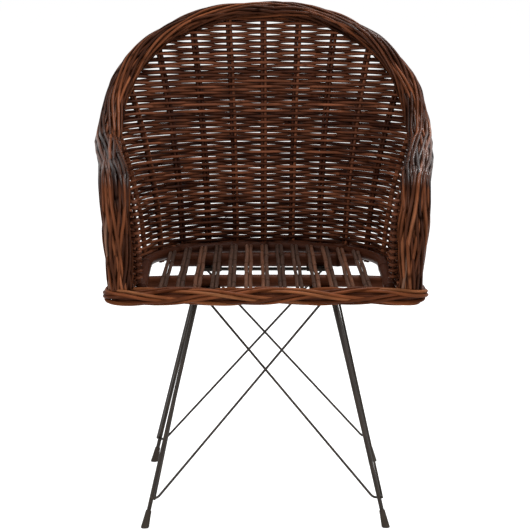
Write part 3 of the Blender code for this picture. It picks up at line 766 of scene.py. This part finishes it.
def add_row(rods, row, height):
    """One level row of rods, woven in front of one stake pair and behind the next.

    Places along the row count stake pairs from the middle of the back.
    """
    reach = row_reach(height) * STAKES_EACH_SIDE
    begin = -reach
    while begin < reach:
        end = min(begin + draw.uniform(*WEAVER_SPANS), reach)
        if reach - end < WEAVER_LEAST_SPAN:
            end = reach
        steps = max(int((end - begin) * STEPS_PER_STAKE), 4)
        stakes = np.linspace(begin, end, steps + 1)
        radius = WEAVER_DIAMETER / 2 * draw.uniform(*WEAVER_SIZES)
        along = stakes * STAKE_PITCH
        wave = np.cos(np.pi * stakes) * (-1) ** row
        swing = WEAVER_SWING * np.sign(wave) * np.abs(wave) ** draw.uniform(*WEAVER_SHARPNESS)
        heights = height + ROW_WANDER * drift(along, 0.30) + draw.normal(0, ROW_JITTER)
        heights = heights + swing * np.interp(height, SLANT_HEIGHTS, SLANTS)
        points, normals = WALL.at(stakes / STAKES_EACH_SIDE, heights)
        points = points + normals * swing[:, None]
        sizes = radius * (1 + 0.03 * drift(along, 0.2) + WEAVE_CLOSING * (1 - np.abs(wave)))
        tones = np.minimum(seeded_tone(WEAVER_CHANCES) + 0.20 * drift(along, 0.09), WEAVER_PALEST)
        rods.add(points, sizes, tones, knots_along(along[-1] - along[0], 0.12, 0.3), normals)
        begin = end


def make_weavers():
    """All rows of the wall, in bands of rows that are a piece each."""
    top = float(WALL.rim_height(0.0)) - WEAVE_TOP_GAP
    rows = int((top - FIRST_ROW) / ROW_PITCH)
    for band in range(WEAVE_BANDS):
        rods = Rods(WEAVE_SIDES)
        for row in range(band * rows // WEAVE_BANDS, (band + 1) * rows // WEAVE_BANDS):
            add_row(rods, row, FIRST_ROW + row * ROW_PITCH)
        rods.build(f"wall_weave_{band + 1}", WEAVE, "weave", "woven_wall")


def post_inner_x(height):
    """Inner edge of a post at a height."""
    share = (height - RIM_BOTTOM) / (RIM_ARM_HEIGHT - RIM_BOTTOM)
    middle = (RIM_POST_WIDTH + share * (RIM_ARM_FRONT_WIDTH - RIM_POST_WIDTH)) / 2
    straight = RIM_ARM_HEIGHT - RIM_ARM_CORNER - RIM_BOTTOM
    widening = np.clip((height - RIM_BOTTOM) / straight, 0, 1)
    return middle - (RIM_FOOT_ACROSS + widening * (RIM_ARM_ACROSS - RIM_FOOT_ACROSS)) / 2


def ladder_x(height):
    """Place across of the upright beside a post, which meets the post at its top."""
    share = np.clip((height - LADDER_LOW) / (LADDER_HIGH - LADDER_LOW), 0, 1)
    return post_inner_x(height) - LADDER_INSET * (1 - share ** 2)


def make_ladders():
    """Beside each post, an upright with every other row of the weave turned round it."""
    rods = Rods(WEAVE_SIDES)
    reach = (LADDER_UPRIGHT + WEAVER_DIAMETER) / 2
    for side in (-1, 1):
        flip = np.array([side, 1.0, 1.0])
        heights = np.linspace(LADDER_LOW, LADDER_HIGH, 20)
        upright = np.stack([ladder_x(heights), np.full(20, WALL_FRONT_Y), heights], -1)
        rods.add(upright * flip, LADDER_UPRIGHT / 2, 0.2)
        for height in np.arange(LADDER_LOW + ROW_PITCH, LADDER_HIGH - ROW_PITCH, 2 * ROW_PITCH):
            x = float(ladder_x(height))
            turn = [(post_inner_x(height) + TURN_START[0], WALL_FRONT_Y - TURN_START[1], height)]
            for angle in np.radians(np.linspace(*TURN_ANGLES, 12)):
                y = WALL_FRONT_Y - reach * math.sin(angle)
                turn.append((x + reach * math.cos(angle), y, height))
            tail, normal = WALL.at(TURN_SHARE, height)
            inside = tail - normal * WEAVER_SWING
            turn.append((inside[0], WALL_FRONT_Y + LADDER_BEHIND, height))
            turn = np.array(turn)
            turn[:, 2] += draw.normal(0, TURN_JITTER)
            radius = WEAVER_DIAMETER / 2 * draw.uniform(*TURN_SIZES)
            rods.add(turn * flip, radius, draw.uniform(*TURN_TONES))
    rods.build("wall_turns", WEAVE, "weave", "woven_wall")


# Plaited rolls

def plait(rods, path, rod_size, bundles, lay, deep, rise_limit, stray, tones, lead=None, painted_light=None):
    """Wind pairs of rods both ways round a path, each way passing over and under the other.

    lay gives the length of one full turn at lengths along the path, and deep is the roll's depth,
    or None where it is round. stray is how far, as an angle, a pair's crossings stray from even ones,
    and the last argument, if given, turns a rod's tone into its tones at lengths along the path,
    with painted light and shade added.
    """
    along = np.linspace(0, path.length, int(path.length / PLAIT_STEP))
    points, outward, inward, across = path.at(along)
    depth = across if deep is None else np.full_like(across, deep)
    rod_sizes = rod_size * across / across.min()
    wide = across / 2 + RIM_BULGE - rod_sizes / 2 - rise_limit
    thick = depth / 2 + RIM_BULGE - rod_sizes / 2 - rise_limit
    favour = np.zeros_like(along) if lead is None else lead(along)
    turned = np.cumsum(2 * np.pi / lay(along)) * along[1]
    for way in (1, -1):
        for bundle in range(bundles):
            crossings = bundles * turned + draw.uniform(-stray, stray)
            for pair in (-0.5, 0.5):
                angle = 2 * np.pi * bundle / bundles + way * turned
                spread = np.hypot(wide * np.cos(angle), thick * np.sin(angle))
                angle = angle + pair * rod_sizes / spread + 0.05 * drift(along, 0.25)
                rise = way * rise_limit * (np.cos(crossings) + favour)
                rise = np.clip(rise, -PLAIT_SINK * rise_limit, rise_limit)
                rise = rise + 0.0003 * drift(along, 0.15)
                centre = (
                    points + outward * ((wide + rise) * np.sin(angle))[:, None]
                    + inward * ((thick + rise) * np.cos(angle))[:, None])
                sizes = rod_sizes / 2 * draw.uniform(0.9, 1.04) * (1 + 0.04 * drift(along, 0.3))
                # Painted light and shade along the path, where a function for it is given
                shades = tones() if painted_light is None else painted_light(along, tones())
                shades = shades + 0.10 * drift(along, 0.25)
                facing = unit(
                    outward * (np.sin(angle) / wide)[:, None]
                    + inward * (np.cos(angle) / thick)[:, None])
                rods.add(centre, sizes, shades, knots_along(path.length, 0.15, 0.35), facing)


def lay_straight(rods, path, rod_size, count, deep, inset, tones):
    """Straight filler rods along a path, at an inset from the edge of a roll of a depth."""
    along = np.linspace(0, path.length, int(path.length / FILLER_STEP))
    points, outward, inward, across = path.at(along)
    for number in range(count):
        angle = 2 * np.pi * number / count
        centre = (
            points + outward * ((across / 2 - inset) * math.sin(angle))[:, None]
            + inward * ((deep / 2 - inset) * math.cos(angle)))
        rods.add(centre, rod_size / 2, tones())


def from_rim_end(along):
    """Length from the nearer foot of the rim."""
    return np.minimum(along, RIM_PATH.length - along)


def rim_lay(along):
    """Length of one turn of the rim's plait: longest on the arms."""
    return np.interp(from_rim_end(along), RIM_LAY_PLACES, RIM_LAYS)


def rim_lead(along):
    """How far one way of the plait lies over the other: mirrored over the arch, even on the posts."""
    growth = np.clip((from_rim_end(along) - RIM_LEAD_START) / RIM_LEAD_GROWTH, 0, 1)
    return RIM_LEAD * np.tanh((along - RIM_PATH.length / 2) / RIM_LEAD_SPREAD) * growth


def rim_painted_light(along, tone):
    """Tones along a rim rod: painted light on the posts, painted shade on the arms, and evener tones
    over the arch.
    """
    from_end = from_rim_end(along)
    painted_light = np.interp(from_end, RIM_PAINTED_LIGHT_PLACES, RIM_PAINTED_LIGHTS)
    evenness = np.interp(from_end, RIM_PAINTED_LIGHT_PLACES, RIM_EVENNESS)
    return tone + painted_light + evenness * (RIM_EVEN_TONE - tone)


def make_rim():
    """Plaited rim over filler rods and a core pole."""
    filler = Rods(FILLER_SIDES)
    lay_straight(
        filler, RIM_PATH, FILLER_ROD, RIM_FILLERS, RIM_DEEP, RIM_FILLER_INSET,
        lambda: draw.uniform(0, 0.5))
    lay_straight(filler, RIM_PATH, RIM_CORE_DIAMETER * 0.9, 1, 0.0, 0.0, lambda: 0.1)
    filler.build("rim_filler", RIM, "weave", "rim_border", "rim_core")
    rods = Rods(PLAIT_SIDES)
    # The rim's rods get painted light on the posts and painted shade on the arms
    plait(
        rods, RIM_PATH, RIM_ROD, RIM_BUNDLES, rim_lay, RIM_DEEP, RIM_RISE, RIM_STRAY,
        lambda: seeded_tone(RIM_CHANCES), rim_lead, rim_painted_light)
    rods.build("rim_plait", RIM, "weave", "rim_border")


def border_path():
    """Loop round the foot of the tub: along the front, round the corners and round the wall."""
    radius = BORDER_DIAMETER / 2
    shares = np.linspace(0, 1, 120)
    beside, normal = WALL.at(shares, BORDER_HEIGHT + radius / 2)
    beside = beside + normal * (WALL_THICKNESS / 2 + GAP + radius)
    beside[:, 2] = BORDER_HEIGHT
    forward = np.clip((BORDER_SPREAD_START - beside[:, 1]) / BORDER_SPREAD_LENGTH, 0, 1)
    beside[:, 0] += BORDER_SPREAD * forward ** 2
    centre_x = beside[-1][0] - BORDER_CORNER
    centre_y = BORDER_FRONT_Y + BORDER_CORNER
    side = beside[beside[:, 1] > centre_y + 0.004]
    arc = []
    for angle in np.linspace(0, np.pi / 2, 8):
        x = centre_x + BORDER_CORNER * math.cos(angle)
        arc.append((x, centre_y - BORDER_CORNER * math.sin(angle), BORDER_HEIGHT))
    front = [(x, BORDER_FRONT_Y, BORDER_HEIGHT) for x in np.linspace(centre_x, 0, 30)[1:]]
    half = np.concatenate([side, arc, front])
    loop = np.concatenate([half, (half * MIRROR)[-2::-1]])
    ahead = np.gradient(loop, axis=0)
    outward = np.stack([-ahead[:, 1], ahead[:, 0], np.zeros(len(loop))], -1)
    return Path(loop, outward, np.full(len(loop), BORDER_DIAMETER + BORDER_SWELL))


def make_border():
    """One plaited roll along the front and round the foot of the wall."""
    path = border_path()
    rods = Rods(PLAIT_SIDES)
    lay = path.length * BORDER_BUNDLES / BORDER_TURNS
    lay_straight(
        rods, path, FILLER_ROD, BORDER_FILLERS, BORDER_DIAMETER, BORDER_FILLER_INSET,
        lambda: draw.uniform(0, 0.2))
    plait(
        rods, path, BORDER_ROD, BORDER_BUNDLES, lambda along: np.full_like(along, lay), None,
        BORDER_RISE_LIMIT, BORDER_STRAY, lambda: draw.uniform(0.1, 1.0))
    rods.build("seat_border_plait", BORDER, "weave", "front_border", "bottom_border")


# Seat

def hoop_inner_y(x):
    """Inside of the hoop's back at a place across."""
    into_corner = max(abs(x) - HOOP_STRAIGHT, 0)
    inner_radius = HOOP_CORNER - HOOP_DIAMETER / 2
    return HOOP_CENTRE_Y + math.sqrt(inner_radius ** 2 - into_corner ** 2)


def hoop_side_x(y):
    """Middle of the hoop's side at a place front to back."""
    into_corner = max(y - HOOP_CENTRE_Y, 0)
    return HOOP_STRAIGHT + math.sqrt(HOOP_CORNER ** 2 - into_corner ** 2)


def make_pole(name, path, diameter, tone):
    """Smooth pole with knots, in place of a node of the same name."""
    rods = Rods(POLE_SIDES)
    along = lengths_along(path)
    sizes = diameter / 2 * (1 + 0.015 * drift(along, 0.2))
    rods.add(path, sizes, tone, knots_along(along[-1], 0.14, 0.26))
    rods.build(name + "_pole", POLE, "pole", name)


def make_seat_frame():
    """Bent hoop, front rail and the two cross rails that lie on the base."""
    end_y = SEAT_RAIL_Y + SEAT_RAIL_DIAMETER / 2 + GAP
    distances = np.linspace(0, u_length(0, end_y), 90)
    half = np.array([(*u_point(distance, 0)[0], FRAME_TOP) for distance in distances])
    make_pole("seat_hoop", np.concatenate([(half * MIRROR)[:0:-1], half]), HOOP_DIAMETER, 0.1)
    straight = np.linspace(-1, 1, 60)
    bent = np.maximum(np.abs(straight) - RAIL_STRAIGHT, 0) / (1 - RAIL_STRAIGHT)
    front_reach = HOOP_WIDTH / 2 + SEAT_RAIL_OVERHANG
    for name, y, reach, diameter, tone, bow in (
            ("seat_front_rail", SEAT_RAIL_Y, front_reach, SEAT_RAIL_DIAMETER, 0.6, 0.0),
            ("front_cross_rail", FRONT_RAIL_Y, hoop_side_x(FRONT_RAIL_Y), FRONT_RAIL_DIAMETER, 0.9,
             FRONT_RAIL_BOW),
            ("rear_cross_rail", REAR_RAIL_Y, hoop_side_x(REAR_RAIL_Y), REAR_RAIL_DIAMETER, 0.5, 0.0)):
        heights = FRAME_TOP - diameter / 2 - bow * bent ** 2
        rail = np.stack([straight * reach, np.full_like(straight, y), heights], -1)
        make_pole(name, rail, diameter, tone)


def make_seat_rods():
    """Bark rods in pairs, a little crooked, from the front rail to the inside of the hoop's back."""
    apart = (ROD_DIAMETER + GAP) / 2
    for pair in range(ROD_PAIRS):
        column = pair - (ROD_PAIRS - 1) / 2
        for side, label in ((-1, "a"), (1, "b")):
            front_x = column * ROD_PITCH_FRONT + side * apart
            rear_x = column * ROD_PITCH_REAR + side * apart
            front = np.array([front_x, SEAT_RAIL_Y - ROD_OVERHANG, ROD_HEIGHT])
            rear_y = hoop_inner_y(abs(rear_x) + ROD_DIAMETER / 2) - GAP
            rear = np.array([rear_x, rear_y, ROD_HEIGHT])
            share = np.linspace(0, 1, 70)
            path = front + (rear - front) * share[:, None]
            along = share * np.linalg.norm(rear - front)
            bow = np.sin(np.pi * share)
            path[:, 0] += ROD_CROOK * bow * drift(along, 0.30)
            path[:, 2] += ROD_WAVE * drift(along, 0.20)
            size = ROD_DIAMETER / 2 * draw.uniform(0.92, 1.05) * (1 + 0.03 * drift(along, 0.12))
            rods = Rods(SEAT_ROD_SIDES)
            rods.add(path, size, draw.uniform(0, 1), knots_along(along[-1], 0.07, 0.16))
            node = f"seat_rod_{pair + 1:02d}_{label}"
            rods.build("bark_" + node, BARK, "seat_rod", node)


# Wire base

def leg_point(side_x, side_y, height):
    """Middle of a leg at a height."""
    share = height / RING_HEIGHT
    half = FOOT_SPACING / 2 + share * (LEG_TOP_SPACING - FOOT_SPACING) / 2
    return Vector((side_x * half, side_y * half, height))


def make_wire(name, path, diameter, node):
    """Coated wire along a path, in place of a node."""
    rods = Rods(WIRE_SIDES)
    rods.add(path, diameter / 2, 0.5)
    rods.build(name, STEEL, "steel", node)


def make_leg(side_x, side_y):
    """One leg with its foot."""
    name = ("front" if side_y < 0 else "rear") + ("_left" if side_x < 0 else "_right")
    floor = leg_point(side_x, side_y, 0)
    corner = leg_point(side_x, side_y, RING_HEIGHT)
    axis = (corner - floor).normalized()
    low = floor + axis * (FOOT_SOLE + GAP)
    top = corner - axis * (RING_DIAMETER / 2 + GAP)
    path = [low.lerp(top, step / 12) for step in range(13)]
    make_wire("leg_wire_" + name, path, LEG_DIAMETER + 2 * LEG_COAT, "leg_" + name)
    make_foot(name, floor, axis)


def make_foot(name, centre, axis):
    """Rubber cap with a rounded collar, cut level with the floor."""
    bore = LEG_DIAMETER / 2 + GAP
    wide = FOOT_BOTTOM_DIAMETER / 2
    slope = (FOOT_BOTTOM_DIAMETER - FOOT_TOP_DIAMETER) / 2 / FOOT_HEIGHT
    profile = [(0, -wide)]
    for height in (-wide, *np.linspace(0, FOOT_HEIGHT - 2 * FOOT_EDGE, 6)):
        profile.append((wide - slope * height, height))
    shoulder = FOOT_TOP_DIAMETER / 2 - FOOT_EDGE
    for angle in np.linspace(0, np.pi / 2, 5):
        height = FOOT_HEIGHT - FOOT_EDGE + FOOT_EDGE * math.sin(angle)
        profile.append((shoulder + FOOT_EDGE * math.cos(angle), height))
    profile += [(bore, FOOT_HEIGHT - FOOT_EDGE / 3), (bore, FOOT_SOLE), (0, FOOT_SOLE)]
    bm = bmesh.new()
    verts = [bm.verts.new((radius, 0.0, height)) for radius, height in profile]
    edges = [bm.edges.new(pair) for pair in zip(verts, verts[1:])]
    bmesh.ops.spin(
        bm, geom=verts + edges, angle=math.tau, steps=32, axis=(0, 0, 1), cent=(0, 0, 0),
        use_merge=True)
    bmesh.ops.remove_doubles(bm, verts=bm.verts, dist=0.00001)
    turn = Vector((0, 0, 1)).rotation_difference(axis).to_matrix().to_4x4()
    bmesh.ops.transform(bm, matrix=Matrix.Translation(centre) @ turn, verts=bm.verts)
    geometry = bm.verts[:] + bm.edges[:] + bm.faces[:]
    bmesh.ops.bisect_plane(bm, geom=geometry, plane_co=(0, 0, 0), plane_no=(0, 0, 1), clear_inner=True)
    rim = [edge for edge in bm.edges if edge.is_boundary]
    sole = bmesh.ops.contextual_create(bm, geom=rim)["faces"]
    bmesh.ops.bevel(
        bm, geom=sole[0].edges[:], offset=FOOT_EDGE, segments=4, profile=0.5, affect="EDGES")
    mesh = bpy.data.meshes.new("foot_cap_" + name)
    bmesh.ops.recalc_face_normals(bm, faces=bm.faces)
    bm.to_mesh(mesh)
    bm.free()
    mesh.shade_smooth()
    mesh.set_sharp_from_angle(angle=math.radians(40))
    dress("foot_cap_" + name, mesh, RUBBER, "rubber", "foot_" + name)


def make_ring():
    """Square ring with round corners that joins the tops of the legs."""
    half = RING_SIDE / 2
    points = []
    for quarter in range(4):
        turn = math.radians(45 + 90 * quarter)
        centre_x = math.copysign(half - RING_CORNER, math.cos(turn))
        centre_y = math.copysign(half - RING_CORNER, math.sin(turn))
        for step in range(11):
            angle = math.radians(90) * (quarter + step / 10)
            x = centre_x + RING_CORNER * math.cos(angle)
            points.append((x, centre_y + RING_CORNER * math.sin(angle), RING_HEIGHT))
    middle = (half, 0.0, RING_HEIGHT)
    make_wire("ring_wire", [middle, *points, middle], RING_DIAMETER, "base_ring")


def rounded_path(start, first, second, end):
    """Straight ends joined to a straight middle by two smooth bends."""
    middle = (second - first).normalized()
    low_end = first - start
    top_end = end - second
    points = [start]
    for corner, before, after, bend in (
            (first, low_end.normalized(), middle, low_end.length / 2),
            (second, middle, top_end.normalized(), top_end.length / 2)):
        entry = corner - before * bend
        leave = corner + after * bend
        for step in range(BEND_STEPS + 1):
            t = step / BEND_STEPS
            points.append(entry * (1 - t) ** 2 + corner * 2 * t * (1 - t) + leave * t * t)
    points.append(end)
    return points


def brace_points(low_leg, high_leg, face, side):
    """Path of a brace from low on one leg to the ring at the other: side 1 is outside the legs."""
    slant = (FOOT_SPACING - LEG_TOP_SPACING) / 2 / RING_HEIGHT
    normal = Vector((face[0], face[1], slant)).normalized()
    reach = (LEG_DIAMETER + BRACE_DIAMETER) / 2 + GAP
    high = RING_HEIGHT - BRACE_TOP_DROP
    low = leg_point(*low_leg, BRACE_LOW) + normal * reach * side
    along = (leg_point(*high_leg, BRACE_LOW) - leg_point(*low_leg, BRACE_LOW)).normalized()
    to_ring = (RING_SIDE - LEG_TOP_SPACING) / 2 + reach * side
    beside = Vector((*face, 0)) * to_ring - along * BRACE_TOP_INSET
    return rounded_path(
        low - along * LEG_DIAMETER / 2, low + along * BRACE_LOW_WELD,
        leg_point(*high_leg, high) + beside, leg_point(*high_leg, high + BRACE_TOP_WELD) + beside)


def make_braces():
    """Two crossed wires on each side of the base."""
    faces = {
        "front": ((0, -1), (-1, -1), (1, -1)), "rear": ((0, 1), (1, 1), (-1, 1)),
        "left": ((-1, 0), (-1, 1), (-1, -1)), "right": ((1, 0), (1, -1), (1, 1))}
    for name, (face, one, other) in faces.items():
        for label, low, high, side in (("outer", one, other, 1), ("inner", other, one, -1)):
            path = brace_points(low, high, face, side)
            diameter = BRACE_DIAMETER + 2 * BRACE_COAT
            make_wire(f"brace_wire_{name}_{label}", path, diameter, f"brace_{name}_{label}")


def finish_plates():
    """Plates and screws keep their solids and take the coat."""
    for name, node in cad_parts.items():
        if name.startswith(("mount_plate_", "screw_")):
            node.data.materials.clear()
            node.data.materials.append(STEEL)


# Stage

CAMERA_PLACE = (-0.0275, -4.0571, 1.2177)
CAMERA_TILT = 0.193
CAMERA_TURN = math.radians(-0.4)
CAMERA_LENS = 156.22
SENSOR = 36.0
AMBIENT = 0.45
FLOOR_GLOW = 0.75


def make_camera():
    data = bpy.data.cameras.new("camera")
    data.lens = CAMERA_LENS
    data.sensor_width = SENSOR
    camera = place("camera", data)
    camera.location = CAMERA_PLACE
    camera.rotation_euler = (math.pi / 2 - CAMERA_TILT, 0, CAMERA_TURN)
    bpy.context.scene.camera = camera


def seen_directly(tree):
    """Socket that is 1 for rays from the camera, a reflection or a transmission."""
    path = tree.nodes.new("ShaderNodeLightPath")
    seen = path.outputs["Is Camera Ray"]
    for label in ("Is Glossy Ray", "Is Transmission Ray"):
        either = tree.nodes.new("ShaderNodeMath")
        either.operation = "MAXIMUM"
        tree.links.new(seen, either.inputs[0])
        tree.links.new(path.outputs[label], either.inputs[1])
        seen = either.outputs[0]
    return seen


def make_world():
    """White background, which lights the chair at a lower strength than the one it shows."""
    world = bpy.data.worlds.new("studio")
    bpy.context.scene.world = world
    world.use_nodes = True
    tree = world.node_tree
    background = tree.nodes["Background"]
    set_inputs(background, {"Color": (1, 1, 1, 1)})
    strength = tree.nodes.new("ShaderNodeMapRange")
    set_inputs(strength, {"To Min": AMBIENT, "To Max": 1.0})
    tree.links.new(seen_directly(tree), strength.inputs["Value"])
    tree.links.new(strength.outputs["Result"], background.inputs["Strength"])


def make_floor():
    """White floor that keeps the chair's shadow: part of its white glows, the rest is lit."""
    bpy.ops.mesh.primitive_plane_add(size=60, location=(0, 12, -0.0004))
    floor = bpy.context.object
    floor.name = "floor"
    material = bpy.data.materials.new("floor_white")
    material.use_nodes = True
    tree = material.node_tree
    shader = tree.nodes["Principled BSDF"]
    set_inputs(shader, {
        "Base Color": (0.55, 0.55, 0.55, 1), "Roughness": 1.0, "Specular IOR Level": 0.0,
        "Emission Color": (1, 1, 1, 1)})
    strength = tree.nodes.new("ShaderNodeMath")
    strength.operation = "MULTIPLY"
    strength.inputs[1].default_value = FLOOR_GLOW
    tree.links.new(seen_directly(tree), strength.inputs[0])
    tree.links.new(strength.outputs[0], shader.inputs["Emission Strength"])
    floor.data.materials.append(material)


def make_lamp(name, location, aim, size, power):
    """Softbox of a size and power in watts, turned to a point."""
    data = bpy.data.lights.new(name, "AREA")
    data.shape = "RECTANGLE"
    data.size, data.size_y = size
    data.energy = power
    lamp = place(name, data)
    lamp.location = location
    lamp.rotation_euler = (Vector(aim) - Vector(location)).to_track_quat("-Z", "Y").to_euler()


def make_stage():
    make_camera()
    make_world()
    make_floor()
    make_lamp("top_softbox", (0.5, 0.5, 2.8), (0, 0, 0.5), (1.4, 1.0), 60)
    make_lamp("key_softbox", (-2.0, -2.6, 2.2), (0, 0, 0.5), (1.6, 2.0), 75)
    make_lamp("fill_softbox", (2.4, -2.2, 1.4), (0, 0, 0.5), (1.6, 2.0), 45)
    make_lamp("back_softbox", (1.0, 1.6, 1.9), (0.1, 0, 0.6), (0.3, 0.5), 10)
    bpy.context.scene.view_settings.view_transform = "Standard"


for side_x in (-1, 1):
    for side_y in (-1, 1):
        make_leg(side_x, side_y)
make_ring()
make_braces()
finish_plates()
make_seat_frame()
make_seat_rods()
make_stakes()
make_weavers()
make_ladders()
make_rim()
make_border()
make_stage()
